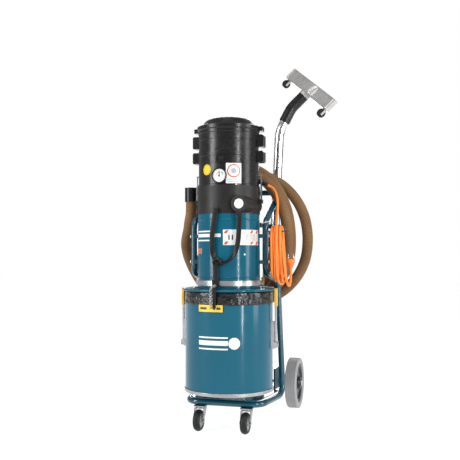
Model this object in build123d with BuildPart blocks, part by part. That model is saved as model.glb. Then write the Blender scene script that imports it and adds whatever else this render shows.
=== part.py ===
"""Dust collector on a two-wheel trolley.

Millimetres, +Z up. The front faces -Y, +X is the right side, and the origin is
on the floor under the axis of the bin.
"""
from build123d import *
from math import atan, degrees, radians, sqrt, tan
import os

# ---------------------------------------------------------------- dimensions
TUBE_R = 11.0                   # frame tube
TUBE_WALL = 2.0
FRONT_Y, FRONT_HALF = -67.0, 133.0
BASE_Z = 97.0                   # centre line of the base tube
REAR_Y, REAR_HALF = 150.0, 168.0
SIDE_X, SIDE_Y = 135.0, 5.0     # vertical tubes beside the housing
JOINT_LOW_Z = 160.0
ARM_LOW_Z, ARM_SLOPE = 738.0, 0.5125
GRIP_Y, ARM_Y = 250.0, 200.0    # handle bar, and where the arms meet it
GRIP_Z = ARM_LOW_Z + (GRIP_Y - SIDE_Y) * ARM_SLOPE
ARM_Z = ARM_LOW_Z + (ARM_Y - SIDE_Y) * ARM_SLOPE
BEND_LOW_Z, BEND_HIGH_Z = 520.0, 556.0
UPRIGHT_TOP_X = 149.0

AXLE_Y, AXLE_R = 380.0, 10.0
WHEEL_R, WHEEL_X, TYRE_WIDTH = 100.0, 170.0, 45.0
HUB_R = 76.0

CASTER_X, CASTER_TRAIL = 85.0, 25.0
CASTER_R, CASTER_WIDTH = 37.5, 25.0
PLATE_Z = 83.0                  # underside of the caster top plates

BIN_R, BIN_LOW, BIN_HIGH, BIN_WALL = 158.0, 134.0, 490.0, 2.0
FLANGE_R = 170.0                # lid over the bin
LID_TOP = 500.0
HOUSING_R, HOUSING_LOW, HOUSING_HIGH = 112.5, 520.0, 765.0
INLET_R, INLET_HIGH = 113.5, 865.0
HEAD_R, HEAD_HIGH = 110.0, 1062.0
CAP_R, CAP_HIGH = 116.0, 1115.0

DUCT_R, DUCT_BORE_R, DUCT_Z = 29.0, 26.0, 797.0
DUCT_MOUTH = Vector(72, -122, DUCT_Z)
DUCT_DIR = Vector(0.117, 0.9931, 0)

HOSE_R = 20.5
CABLE_R = 4.5
STRAP_WIDTH, STRAP_THICK, STRAP_Y = 18.0, 4.0, -122.0

WAND_R, WAND_WALL, WAND_Y = 19.0, 1.5, 285.0
WAND_LEAN = 0.05                # X gained for each millimetre of height
RUN = 0.1                       # clearance where two pieces slide


def wand_x(z):
    """X of the leaning wand's axis at height z."""
    return 120.9 + WAND_LEAN * (z - 943.0)


def save(piece, label):
    """Label a finished piece and write it."""
    piece.part.label = label
    export_step(piece.part, f"parts/{label}.step")


def arc_radii(points, share=0.45):
    """The largest arc that each corner's two runs allow."""
    radii = []
    for before, here, after in zip(points, points[1:], points[2:]):
        run_in = Vector(*here) - Vector(*before)
        run_out = Vector(*after) - Vector(*here)
        turn = radians(run_in.get_angle(run_out))
        radii.append(share * min(run_in.length, run_out.length) / tan(turn / 2))
    return radii


def bent_tube(points, radii, outer, inner=0):
    """A tube of straight runs joined by tangent arcs."""
    with BuildPart() as tube:
        with BuildLine() as path:
            FilletPolyline(*points, radius=radii)
        with BuildSketch(Plane(origin=path.line @ 0, z_dir=path.line % 0)):
            Circle(outer)
            if inner:
                Circle(inner, mode=Mode.SUBTRACT)
        sweep(path=path.wire())
    return tube


def cord_tube(label, points, radius):
    """A cord's free stretch, with its bend radii printed."""
    radii = arc_radii(points)
    tube = bent_tube(points, radii, radius)
    with BuildLine() as path:
        FilletPolyline(*points, radius=radii)
    length = path.wire().length
    expected = length * 3.141592653589793 * radius ** 2
    print(label, "radii", [round(r) for r in radii], "length", round(length),
          "volume ratio", round(tube.part.volume / expected, 4))
    save(tube, label)


def turned(profile, plane=Plane.XZ, axis=Axis.Z):
    """A ring or disc from a closed half profile of (radius, height) points."""
    with BuildPart() as ring:
        with BuildSketch(plane):
            Polygon(*profile, align=None)
        revolve(axis=axis)
    return ring


os.makedirs("parts", exist_ok=True)

# ------------------------------------------------------------------- trolley
joint_share = (JOINT_LOW_Z - BASE_Z) / (BEND_LOW_Z - BASE_Z)
joint_x = REAR_HALF + (UPRIGHT_TOP_X - REAR_HALF) * joint_share
base_points = [(-joint_x, REAR_Y, JOINT_LOW_Z), (-REAR_HALF, REAR_Y, BASE_Z),
               (-FRONT_HALF, FRONT_Y, BASE_Z), (FRONT_HALF, FRONT_Y, BASE_Z),
               (REAR_HALF, REAR_Y, BASE_Z), (joint_x, REAR_Y, JOINT_LOW_Z)]
save(bent_tube(base_points, [45, 50, 50, 45], TUBE_R, TUBE_R - TUBE_WALL), "base_tube")

for side, name in ((-1, "left"), (1, "right")):
    upright = [(side * joint_x, REAR_Y, JOINT_LOW_Z),
               (side * UPRIGHT_TOP_X, REAR_Y, BEND_LOW_Z),
               (side * SIDE_X, SIDE_Y, BEND_HIGH_Z), (side * SIDE_X, SIDE_Y, ARM_LOW_Z),
               (side * SIDE_X, ARM_Y, ARM_Z)]
    save(bent_tube(upright, [32, 32, 45], TUBE_R, TUBE_R - TUBE_WALL), f"{name}_upright")

handle_points = [(-SIDE_X, ARM_Y, ARM_Z), (-SIDE_X, GRIP_Y, GRIP_Z),
                 (SIDE_X, GRIP_Y, GRIP_Z), (SIDE_X, ARM_Y, ARM_Z)]
save(bent_tube(handle_points, [30, 30], TUBE_R, TUBE_R - TUBE_WALL), "handle_bar")

# The tray: a sheet on the base tubes, two runners for the bin, two axle ears.
TRAY_Z, TRAY_THICK = BASE_Z + TUBE_R, 3.0
EAR_X, EAR_THICK = 131.0, 6.0
with BuildPart() as base_plate:
    with BuildSketch(Plane.XY.offset(TRAY_Z)):
        Polygon((-112, -66), (112, -66), (126, -40), (152, 140), (134, 160),
                (134, 300), (-134, 300), (-134, 160), (-152, 140), (-126, -40), align=None)
    extrude(amount=TRAY_THICK)
    with Locations((-90, 32, TRAY_Z + TRAY_THICK), (90, 32, TRAY_Z + TRAY_THICK)):
        Box(24, 190, BIN_LOW - RUN - TRAY_Z - TRAY_THICK,
            align=(Align.CENTER, Align.CENTER, Align.MIN))
    for side in (-1, 1):
        with BuildSketch(Plane.YZ.offset(side * EAR_X)):
            Polygon((170, TRAY_Z), (170, 186), (230, 186), (402, 118), (402, 84),
                    (300, TRAY_Z - 6), align=None)
        extrude(amount=EAR_THICK / 2, both=True)
    with BuildSketch(Plane.YZ.offset(-200)):
        with Locations((AXLE_Y, WHEEL_R)):
            Circle(AXLE_R + 0.02)
    extrude(amount=400, mode=Mode.SUBTRACT)
save(base_plate, "base_plate")

AXLE_END = 196.0
with BuildPart() as rear_axle:
    with BuildSketch(Plane.YZ.offset(-AXLE_END)):
        with Locations((AXLE_Y, WHEEL_R)):
            Circle(AXLE_R)
    extrude(amount=2 * AXLE_END)
    for side in (-1, 1):
        with BuildSketch(Plane.YZ.offset(side * AXLE_END)):
            with Locations((AXLE_Y, WHEEL_R)):
                Circle(14)
        extrude(amount=side * 5)
    fillet(rear_axle.edges().filter_by(GeomType.CIRCLE).sort_by(Axis.X)[0], 2)
    fillet(rear_axle.edges().filter_by(GeomType.CIRCLE).sort_by(Axis.X)[-1], 2)
save(rear_axle, "rear_axle")

# ---------------------------------------------------------------- rear wheels
GROOVE_WIDTH, GROOVE_DEPTH = 2.4, 1.6
wheel_axis = Axis((0, AXLE_Y, WHEEL_R), (1, 0, 0))
for side, name in ((-1, "left"), (1, "right")):
    wheel_plane = Plane(origin=(side * WHEEL_X, AXLE_Y, WHEEL_R), x_dir=(0, 0, 1),
                        z_dir=(0, 1, 0))
    half = TYRE_WIDTH / 2
    with BuildPart() as tyre:
        with BuildSketch(wheel_plane):
            with Locations(((HUB_R + WHEEL_R) / 2, 0)):
                RectangleRounded(WHEEL_R - HUB_R, TYRE_WIDTH, 5)
            with Locations(*[(WHEEL_R, x) for x in (-14, -7, 0, 7, 14)]):
                Rectangle(2 * GROOVE_DEPTH, GROOVE_WIDTH, mode=Mode.SUBTRACT)
            with Locations((HUB_R, 0)):
                Rectangle(6, 34)
            with Locations((HUB_R - 5, 0)):
                Rectangle(10, TYRE_WIDTH, mode=Mode.SUBTRACT)
        revolve(axis=wheel_axis)
    save(tyre, f"{name}_tyre")

    with BuildPart() as hub:
        with BuildSketch(wheel_plane):
            Polygon((AXLE_R + 0.06, -25), (22, -25), (26, -15), (60, -11), (66, -17),
                    (HUB_R, -17), (HUB_R, 17), (66, 17), (60, 11), (26, 15), (22, 25),
                    (AXLE_R + 0.06, 25), align=None)
        revolve(axis=wheel_axis)
    save(hub, f"{name}_hub")

# -------------------------------------------------------------- front casters
with BuildPart() as caster_plates:
    with BuildSketch(Plane.XY.offset(PLATE_Z)):
        with Locations((-CASTER_X, FRONT_Y), (CASTER_X, FRONT_Y)):
            RectangleRounded(44, 44, 5)
            Circle(6, mode=Mode.SUBTRACT)
    extrude(amount=BASE_Z - TUBE_R - PLATE_Z)
save(caster_plates, "caster_plates")

PIN_R, CROWN_Z = 4.0, 76.5
for side, name in ((-1, "left"), (1, "right")):
    x, wheel_y = side * CASTER_X, FRONT_Y - CASTER_TRAIL
    with BuildPart() as fork:
        with BuildSketch(Plane.XY.offset(CROWN_Z)):
            with Locations((x, FRONT_Y)):
                Circle(17)
        extrude(amount=PLATE_Z - RUN - CROWN_Z)
        with BuildSketch(Plane.XY.offset(CROWN_Z)):
            with Locations((x, FRONT_Y)):
                Circle(5.95)
        extrude(amount=PLATE_Z + 2.8 - CROWN_Z)
        with BuildSketch(Plane.XY.offset(CROWN_Z)):
            with Locations((x, FRONT_Y - 4)):
                Rectangle(37, 34)
        extrude(amount=2.5)
        for leg in (-1, 1):
            with BuildSketch(Plane.YZ.offset(x + leg * 17.25)):
                with BuildLine():
                    Polyline((FRONT_Y + 13, CROWN_Z + 2.5), (FRONT_Y - 21, CROWN_Z + 2.5),
                             (wheel_y - 8, CASTER_R))
                    ThreePointArc((wheel_y - 8, CASTER_R), (wheel_y, CASTER_R - 8),
                                  (wheel_y + 8, CASTER_R))
                    Line((wheel_y + 8, CASTER_R), (FRONT_Y + 13, CROWN_Z + 2.5))
                make_face()
            extrude(amount=1.25, both=True)
        with BuildSketch(Plane.YZ.offset(x - 21)):
            with Locations((wheel_y, CASTER_R)):
                Circle(PIN_R)
        extrude(amount=42)
    save(fork, f"{name}_caster_fork")

    caster_plane = Plane(origin=(x, wheel_y, CASTER_R), x_dir=(0, 0, 1), z_dir=(0, 1, 0))
    half = CASTER_WIDTH / 2
    with BuildPart() as caster_wheel:
        with BuildSketch(caster_plane):
            with BuildLine():
                Polyline((PIN_R + 0.06, -15), (9, -15), (9, -9), (24, -8), (26, -half),
                         (31, -half))
                ThreePointArc((31, -half), (CASTER_R, 0), (31, half))
                Polyline((31, half), (26, half), (24, 8), (9, 9), (9, 15),
                         (PIN_R + 0.06, 15), (PIN_R + 0.06, -15))
            make_face()
        revolve(axis=Axis((x, wheel_y, CASTER_R), (1, 0, 0)))
    save(caster_wheel, f"{name}_caster_wheel")

# ------------------------------------------------------------------ container
save(turned([(0, BIN_LOW), (BIN_R, BIN_LOW), (BIN_R, BIN_HIGH), (BIN_R - BIN_WALL, BIN_HIGH),
             (BIN_R - BIN_WALL, BIN_LOW + 3), (0, BIN_LOW + 3)]), "bin")

with BuildPart() as bin_ring:
    with BuildSketch(Plane.XZ):
        with Locations((BIN_R + 1.5, BIN_LOW + 6)):
            RectangleRounded(3, 12, 1.2)
    revolve(axis=Axis.Z)
    with BuildSketch(Plane.XY.offset(BIN_LOW)):
        Circle(BIN_R)
    extrude(amount=12, mode=Mode.SUBTRACT)
save(bin_ring, "bin_ring")

SKIRT_LOW, FILM = 447.0, 1.5
save(turned([(BIN_R + 0.3, SKIRT_LOW), (BIN_R + 0.3 + FILM, SKIRT_LOW),
             (BIN_R + 0.3 + FILM, BIN_HIGH + FILM), (BIN_R - 4, BIN_HIGH + FILM),
             (BIN_R - 4, 430), (BIN_R - 2.5, 430), (BIN_R - 2.5, BIN_HIGH),
             (BIN_R + 0.3, BIN_HIGH)]), "liner")

LATCH_X, LATCH_Z = 173.5, 300.0
with BuildPart() as latch_brackets:
    for side in (-1, 1):
        with Locations((side * 163, 0, 336)):
            Box(14, 26, 100)
        with Locations((side * 172, 0, LATCH_Z)):
            Box(16, 30, 20)
        with Locations((side * 174.5, 0, 336)):
            Box(9.1, 20.4, 100, mode=Mode.SUBTRACT)
        with Locations((side * 174, 0, LATCH_Z)):
            Box(15.2, 20.4, 22, mode=Mode.SUBTRACT)
        with Locations(Location((side * LATCH_X, 0, LATCH_Z), (90, 0, 0))):
            Cylinder(3, 30)
    Cylinder(BIN_R, 600, align=(Align.CENTER, Align.CENTER, Align.MIN), mode=Mode.SUBTRACT)
save(latch_brackets, "latch_brackets")

for side, name in ((-1, "left"), (1, "right")):
    with BuildPart() as latch:
        with Locations((side * LATCH_X, 0, 367)):
            Box(5, 16, 140)
        with Locations(Location((side * LATCH_X, 0, LATCH_Z), (90, 0, 0))):
            Cylinder(6.5, 20)
            Cylinder(3.05, 40, mode=Mode.SUBTRACT)
        with Locations((side * (LATCH_X + 1), 0, 468)):
            Box(8, 20, 64)
    save(latch, f"{name}_latch")

# Chain: round links, each turned a quarter from the one before, and its eye.
LINK_R, WIRE_R, PITCH, CHAIN_X = 5.0, 1.4, 6.6, -14.0
with BuildPart() as chain:
    with BuildLine(Plane.YZ.offset(CHAIN_X), mode=Mode.PRIVATE) as chain_path:
        FilletPolyline((-134, 515), (-146, 508), (-179, 508), (-179, 446), radius=6)
    run_length = chain_path.wire().length
    link_count = int(run_length / PITCH)
    for index in range(link_count):
        where = (index + 0.5) * PITCH / run_length
        along = chain_path.wire() % where
        across = Vector(1, 0, 0)
        normal = across if index % 2 else along.cross(across)
        with Locations(Plane(origin=chain_path.wire() @ where, x_dir=along, z_dir=normal)):
            Torus(LINK_R, WIRE_R)
    with Locations((CHAIN_X, -168, 438)):
        Box(12, 24, 3)
    Cylinder(BIN_R, 490, align=(Align.CENTER, Align.CENTER, Align.MIN), mode=Mode.SUBTRACT)
save(chain, "chain")

# ------------------------------------------------------------ cyclone section
BEAD_R, FUNNEL_R, FUNNEL_LOW = 4.0, 58.0, 493.0
with BuildPart() as lid:
    with BuildSketch(Plane.XZ):
        Polygon((FUNNEL_R, FUNNEL_LOW), (FUNNEL_R + 2, FUNNEL_LOW), (108, 508), (112, 502),
                (124, 500), (FLANGE_R - BEAD_R, 495), (FLANGE_R - BEAD_R, 498), (124, 503),
                (114, 505), (114, 517), (117, 517), (117, 520), (110.5, 520), (110.5, 511),
                (FUNNEL_R, FUNNEL_LOW + 2), align=None)
        with Locations((FLANGE_R - BEAD_R, LID_TOP - BEAD_R)):
            Circle(BEAD_R)
    revolve(axis=Axis.Z)
save(lid, "lid")

with BuildPart() as clamp_band:
    with BuildSketch(Plane.XZ):
        Polygon((117, 512), (119, 511), (119, 529), (117, 528), align=None)
    revolve(axis=Axis.Z)
    with Locations((117.1, 30, 512)):
        Box(4.4, 16, 9)
    Cylinder(117, 600, align=(Align.CENTER, Align.CENTER, Align.MIN), mode=Mode.SUBTRACT)
    with Locations(Location((121.7, 30, 512), (0, 90, 0))):
        Cylinder(2.5, 5.4)
save(clamp_band, "clamp_band")

with BuildPart() as band_lever:
    with Locations((121.6, 30, 538)):
        Box(3.8, 10, 50)
    with Locations(Location((121.6, 30, 512), (0, 90, 0))):
        Cylinder(7, 3.8)
        Cylinder(2.55, 10, mode=Mode.SUBTRACT)
save(band_lever, "band_lever")

with BuildPart() as housing:
    with BuildSketch(Plane.XZ):
        Polygon((HOUSING_R - 2, HOUSING_LOW), (117, HOUSING_LOW), (117, HOUSING_LOW + 3),
                (HOUSING_R, HOUSING_LOW + 5), (HOUSING_R, HOUSING_HIGH),
                (HOUSING_R - 2, HOUSING_HIGH), align=None)
        with Locations((HOUSING_R - 0.5, 744), (HOUSING_R - 0.5, 540)):
            Circle(2.4)
        Rectangle(HOUSING_R - 2, 900, align=(Align.MIN, Align.MIN), mode=Mode.SUBTRACT)
    revolve(axis=Axis.Z)
save(housing, "housing")

duct_plane = Plane(origin=DUCT_MOUTH, z_dir=DUCT_DIR)
HEAD_LATCH_X, HEAD_LATCH_Z = 121.0, 812.0
with BuildPart() as inlet_section:
    with BuildSketch(Plane.XY.offset(HOUSING_HIGH)):
        Circle(INLET_R)
    extrude(amount=INLET_HIGH - HOUSING_HIGH)
    with BuildSketch(duct_plane):
        Circle(DUCT_R)
    extrude(amount=150)
    for side in (-1, 1):
        for ear in (-1, 1):
            with Locations((side * 117, ear * 11, HEAD_LATCH_Z)):
                Box(16, 3.6, 14)
        with Locations(Location((side * HEAD_LATCH_X, 0, HEAD_LATCH_Z), (90, 0, 0))):
            Cylinder(2.5, 24)
    with BuildSketch(Plane.XY.offset(HOUSING_HIGH)):
        Circle(INLET_R - 3)
    extrude(amount=INLET_HIGH - HOUSING_HIGH, mode=Mode.SUBTRACT)
    with BuildSketch(duct_plane):
        Circle(DUCT_BORE_R)
    extrude(amount=135, mode=Mode.SUBTRACT)
save(inlet_section, "inlet_section")

# The cap's plug slides in the duct, and its tab carries the strap.
with BuildPart() as inlet_cap:
    with BuildSketch(duct_plane.offset(-RUN)):
        Circle(DUCT_R + 1)
    extrude(amount=-6)
    fillet(inlet_cap.edges().filter_by(GeomType.CIRCLE).sort_by(Axis.Y)[0], 2)
    with BuildSketch(duct_plane.offset(-RUN)):
        Circle(DUCT_BORE_R - 0.1)
    extrude(amount=14)
    with Locations((71.3, -126, 764)):
        Box(STRAP_WIDTH, 4, 16)
save(inlet_cap, "inlet_cap")

save(turned([(45, 640), (47, 640), (47, INLET_HIGH - 3), (INLET_R - 3.1, INLET_HIGH - 3),
             (INLET_R - 3.1, INLET_HIGH), (45, INLET_HIGH)]), "vortex_tube")

# ----------------------------------------------------------------- motor head
SHELF_Z = 988.0
GAUGE_X, GAUGE_Z, GAUGE_R = -4.0, 898.0, 25.0
SWITCH_Z = 956.0
with BuildPart() as motor_housing:
    with BuildSketch(Plane.XZ):
        Polygon((HEAD_R - 3, INLET_HIGH), (HEAD_R + 1.5, INLET_HIGH),
                (HEAD_R + 1.5, INLET_HIGH + 4), (HEAD_R, INLET_HIGH + 6), (HEAD_R, 971),
                (HEAD_R + 1.2, 972), (HEAD_R + 1.2, 993), (HEAD_R, 994), (HEAD_R, 1030),
                (HEAD_R + 1.2, 1031), (HEAD_R + 1.2, 1054), (HEAD_R + 2.5, 1056),
                (HEAD_R + 2.5, HEAD_HIGH), (HEAD_R - 3, HEAD_HIGH), (HEAD_R - 3, SHELF_Z + 3),
                (30, SHELF_Z + 3), (30, SHELF_Z), (HEAD_R - 3, SHELF_Z), align=None)
    revolve(axis=Axis.Z)
    with BuildSketch(Plane.XZ.offset(90)):
        with Locations((GAUGE_X, GAUGE_Z)):
            Circle(GAUGE_R)
        with Locations((0, SWITCH_Z)):
            Rectangle(26, 20)
    extrude(amount=40, mode=Mode.SUBTRACT)
save(motor_housing, "motor_housing")

with BuildPart() as housing_clips:
    for side in (-1, 1):
        for low, high in ((952, 993), (1007, 1052)):
            with Locations((side * 119, 0, (low + high) / 2)):
                Box(28, 40, high - low)
    chamfer(housing_clips.edges().filter_by(Axis.Y), 4)
    Cylinder(HEAD_R + 1.2, 1100, align=(Align.CENTER, Align.CENTER, Align.MIN),
             mode=Mode.SUBTRACT)
save(housing_clips, "housing_clips")

with BuildPart() as top_cap:
    with BuildSketch(Plane.XZ):
        with BuildLine():
            Polyline((0, CAP_HIGH), (60, CAP_HIGH - 2))
            ThreePointArc((60, CAP_HIGH - 2), (78, CAP_HIGH - 6), (86, 1104))
            Polyline((86, 1104), (100, 1088), (CAP_R, 1082), (CAP_R, 1070), (CAP_R - 3, 1066),
                     (CAP_R - 3, HEAD_HIGH), (104, HEAD_HIGH), (104, 1080), (82, 1102),
                     (60, CAP_HIGH - 5), (0, CAP_HIGH - 3), (0, CAP_HIGH))
        make_face()
    revolve(axis=Axis.Z)
    for side in (-1, 1):
        with Locations((side * 117, 0, 1073)):
            Box(22, 36, 16)
    with BuildSketch(Plane.XY.offset(HEAD_HIGH)):
        Circle(104)
    extrude(amount=18, mode=Mode.SUBTRACT)
save(top_cap, "top_cap")

save(turned([(50, INLET_HIGH), (100, INLET_HIGH), (100, INLET_HIGH + 4), (86, INLET_HIGH + 4),
             (86, 984), (0, 984), (0, 980), (50, 980)]), "filter_cartridge")

MOTOR_LOW = SHELF_Z + 3
save(turned([(30, MOTOR_LOW), (82, MOTOR_LOW), (82, 1019), (70, 1022), (70, 1068), (40, 1076),
             (0, 1076), (0, 1040), (5.06, 1040), (5.06, 1017), (80, 1017), (80, MOTOR_LOW + 2),
             (30, MOTOR_LOW + 2)]), "vacuum_motor")
save(turned([(0, 995), (20, 995), (74, 998), (74, 1012), (5, 1014), (5, 1039.5), (0, 1039.5)]),
     "impeller")

GAUGE_FRONT = -116.5
gauge_axis = Axis((GAUGE_X, 0, GAUGE_Z), (0, 1, 0))
gauge_plane = Plane(origin=(GAUGE_X, 0, GAUGE_Z), x_dir=(1, 0, 0), z_dir=(0, 0, 1))
with BuildPart() as gauge_case:
    with BuildSketch(gauge_plane):
        Polygon((0, -100), (GAUGE_R, -100), (GAUGE_R, -110.2), (27, -110.2),
                (27, GAUGE_FRONT), (23.5, GAUGE_FRONT), (23.5, -113), (0, -113), align=None)
    revolve(axis=gauge_axis)
save(gauge_case, "gauge_case")

with BuildPart() as gauge_needle:
    with BuildSketch(Plane.XZ.offset(113.2)):
        with Locations((GAUGE_X, GAUGE_Z)):
            Circle(2.6)
    extrude(amount=2)
    with BuildSketch(Plane.XZ.offset(113.8)):
        with Locations((GAUGE_X, GAUGE_Z)):
            Polygon((-1.3, -5), (1.3, -5), (0.5, 17), (-0.5, 17), align=None)
    extrude(amount=0.8)
save(gauge_needle, "gauge_needle")

with BuildPart() as switch_frame:
    with Locations((0, -105.8, SWITCH_Z)):
        Box(26, 11.6, 20)
    with Locations((0, -112.6, SWITCH_Z)):
        Box(31, 3, 25)
    with Locations((0, -111, SWITCH_Z)):
        Box(21, 10, 15, mode=Mode.SUBTRACT)
save(switch_frame, "switch_frame")

with BuildPart() as rocker:
    with BuildSketch(Plane.YZ.offset(-9.5)):
        with BuildLine():
            Polyline((-109, SWITCH_Z - 6), (-113.5, SWITCH_Z - 6.4))
            ThreePointArc((-113.5, SWITCH_Z - 6.4), (-112, SWITCH_Z), (-113.5, SWITCH_Z + 6.4))
            Polyline((-113.5, SWITCH_Z + 6.4), (-109, SWITCH_Z + 6), (-109, SWITCH_Z - 6))
        make_face()
    extrude(amount=19)
save(rocker, "rocker")

for side, name in ((-1, "left"), (1, "right")):
    with BuildPart() as head_latch:
        with Locations((side * HEAD_LATCH_X, 0, 838)):
            Box(3, 17, 66)
        with Locations((side * HEAD_LATCH_X, 0, 888)):
            Box(3, 6, 40)
        with Locations((side * (HEAD_LATCH_X - 3.5), 0, 906)):
            Box(10, 12, 4)
        with Locations(Location((side * HEAD_LATCH_X, 0, HEAD_LATCH_Z), (90, 0, 0))):
            Cylinder(4.5, 17)
            Cylinder(2.55, 30, mode=Mode.SUBTRACT)
        with Locations(*[Location((side * HEAD_LATCH_X, 0, z), (0, 90, 0)) for z in (838, 856)]):
            Cylinder(3.2, 10, mode=Mode.SUBTRACT)
    save(head_latch, f"{name}_head_latch")

# ----------------------------------------------------- brackets and fasteners
BOLT_HEIGHTS = (594.0, 687.0)
HOOK_Z = 704.0                  # the cable hank hangs on a rod from the right tube
with BuildPart() as frame_brackets:
    for side in (-1, 1):
        for height in BOLT_HEIGHTS:
            with Locations((side * 121, SIDE_Y, height)):
                Box(26, 24, 14)
    Cylinder(HOUSING_R, 1000, align=(Align.CENTER, Align.CENTER, Align.MIN), mode=Mode.SUBTRACT)
    with BuildLine() as hook_path:
        FilletPolyline((SIDE_X + 5, SIDE_Y, HOOK_Z), (206, SIDE_Y, HOOK_Z),
                       (206, SIDE_Y, HOOK_Z + 14), radius=5)
    with BuildSketch(Plane.YZ.offset(SIDE_X + 5)):
        with Locations((SIDE_Y, HOOK_Z)):
            Circle(2.5)
    sweep(path=hook_path.wire())
    with Locations((-SIDE_X, SIDE_Y, 0), (SIDE_X, SIDE_Y, 0)):
        Cylinder(TUBE_R, 1000, align=(Align.CENTER, Align.CENTER, Align.MIN), mode=Mode.SUBTRACT)
save(frame_brackets, "frame_brackets")

with BuildPart() as frame_bolts:
    for side in (-1, 1):
        for height in BOLT_HEIGHTS:
            with BuildSketch(Plane.YZ.offset(side * (SIDE_X + TUBE_R))):
                with Locations((SIDE_Y, height)):
                    Circle(6)
            extrude(amount=side * 4, taper=18)
save(frame_bolts, "frame_bolts")

# --------------------------------------------------------------- rubber strap
LUG_X = -14.0
with BuildPart() as strap_fittings:
    with Locations((LUG_X, -115, 776)):
        Box(16, 10, 16)
    Cylinder(INLET_R, 1000, align=(Align.CENTER, Align.CENTER, Align.MIN), mode=Mode.SUBTRACT)
    with Locations((LUG_X, STRAP_Y - 0.6, 521)):
        Box(24, 6.8, 25)
save(strap_fittings, "strap_fittings")

strap_points = [(71.3, 756.8), (70, 705), (66, 655), (50, 612), (20, 590), (-12, 594),
                (-27, 630), (-28, 690), (-20, 735), (LUG_X, 784)]
with BuildPart() as strap:
    with BuildLine(Plane.XZ.offset(-STRAP_Y)) as strap_path:
        FilletPolyline(*strap_points, radius=arc_radii([(x, 0, z) for x, z in strap_points]))
    with BuildSketch(Plane(origin=strap_path.line @ 0, x_dir=(1, 0, 0),
                           z_dir=strap_path.line % 0)):
        Rectangle(14, STRAP_THICK)
    sweep(path=strap_path.wire())
    with Locations((LUG_X, STRAP_Y, 566)):
        Box(14, STRAP_THICK, 65)
    with Locations((LUG_X, STRAP_Y, 596)):
        Box(24, 9, 20)
save(strap, "strap")

# ----------------------------------------------------------------- mains lead
GLAND_Y, GLAND_LENGTH = 30.0, 48.0
gland_root = Vector(95, GLAND_Y, 893)
gland_dir = Vector(0.906, 0, -0.423).normalized()
gland_end = gland_root + gland_dir * GLAND_LENGTH
with BuildPart() as cable_gland:
    with BuildSketch(Plane(origin=gland_root, z_dir=gland_dir)):
        Circle(9)
    extrude(amount=28)
    with BuildSketch(Plane(origin=gland_root + gland_dir * 28, z_dir=gland_dir)):
        Circle(8)
    extrude(amount=GLAND_LENGTH - 28, taper=6)
    Cylinder(HEAD_R, 1000, align=(Align.CENTER, Align.CENTER, Align.MIN),
             mode=Mode.SUBTRACT)
save(cable_gland, "cable_gland")

cable_second = gland_end + gland_dir * 14
cord_tube("mains_cable", [(gland_end.X, gland_end.Y, gland_end.Z),
                          (cable_second.X, cable_second.Y, cable_second.Z),
                          (162, 28.5, 857), (170, 25, 843), (176, 18, 824), (180, 8, 803),
                          (182, -4, 782), (183, -17, 760), (184.4, -31.5, 733.2)], CABLE_R)

# The hank's turns go round the hook from front to back, and its last loop rises to the plug.
with BuildPart() as cable_hank:
    with BuildSketch(Plane.XZ.offset(44)):
        Polygon((158, 704), (163, 731), (192, 731), (198, 704), (206, 640), (208, 540),
                (198, 508), (172, 508), (158, 530), (157, 640), align=None)
    extrude(amount=-90)
    fillet(cable_hank.edges(), 3)
    with BuildSketch(Plane.XZ.offset(54)):
        Polygon((198, 650), (210, 640), (224, 572), (224, 540), (198, 540), align=None)
    extrude(amount=-36)
    with BuildSketch(Plane.XZ.offset(54)):
        Polygon((198, 571.9), (233, 571.9), (233, 506), (198, 506), align=None)
    extrude(amount=-59)
    with Locations(Location((180, SIDE_Y, HOOK_Z), (0, 90, 0))):
        Cylinder(4, 100, mode=Mode.SUBTRACT)
save(cable_hank, "cable_hank")

with BuildPart() as cable_plug:
    with BuildSketch(Plane.XY.offset(572)):
        with Locations((228, 0)):
            Circle(8)
    with BuildSketch(Plane.XY.offset(590)):
        with Locations((228, 0)):
            Circle(15)
    loft()
    with BuildSketch(Plane.XY.offset(590)):
        with Locations((228, 0)):
            Circle(15)
    extrude(amount=14)
    with BuildSketch(Plane.XY.offset(604)):
        with Locations((218.5, 0), (237.5, 0)):
            Circle(2.4)
    extrude(amount=19)
save(cable_plug, "cable_plug")

# ----------------------------------------------------------------------- hose
COIL_FRONT, COIL_BACK = 122.0, 230.0
COIL_LOW_FRONT, COIL_LOW_BACK = 168.0, 285.0    # behind the uprights
with BuildPart() as hose_coil:
    with BuildSketch(Plane.XZ.offset(-COIL_FRONT)):
        with Locations((18.5, 690)):
            Ellipse(262.5, 290)
        with Locations((-16, 690)):
            Ellipse(183, 245, mode=Mode.SUBTRACT)
    extrude(amount=COIL_FRONT - COIL_LOW_BACK)
    with Locations((0, COIL_LOW_FRONT, 595)):
        Box(700, 200, 400, align=(Align.CENTER, Align.MAX, Align.MAX), mode=Mode.SUBTRACT)
    with Locations((0, COIL_BACK, 580)):
        Box(700, 200, 600, align=(Align.CENTER, Align.MIN, Align.MIN), mode=Mode.SUBTRACT)
    for side in (-1, 1):
        with BuildSketch(Plane(origin=(side * SIDE_X, SIDE_Y, ARM_LOW_Z),
                               z_dir=(0, 1, ARM_SLOPE))):
            Circle(TUBE_R + 4)
        extrude(amount=300, mode=Mode.SUBTRACT)
save(hose_coil, "hose_coil")

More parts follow.
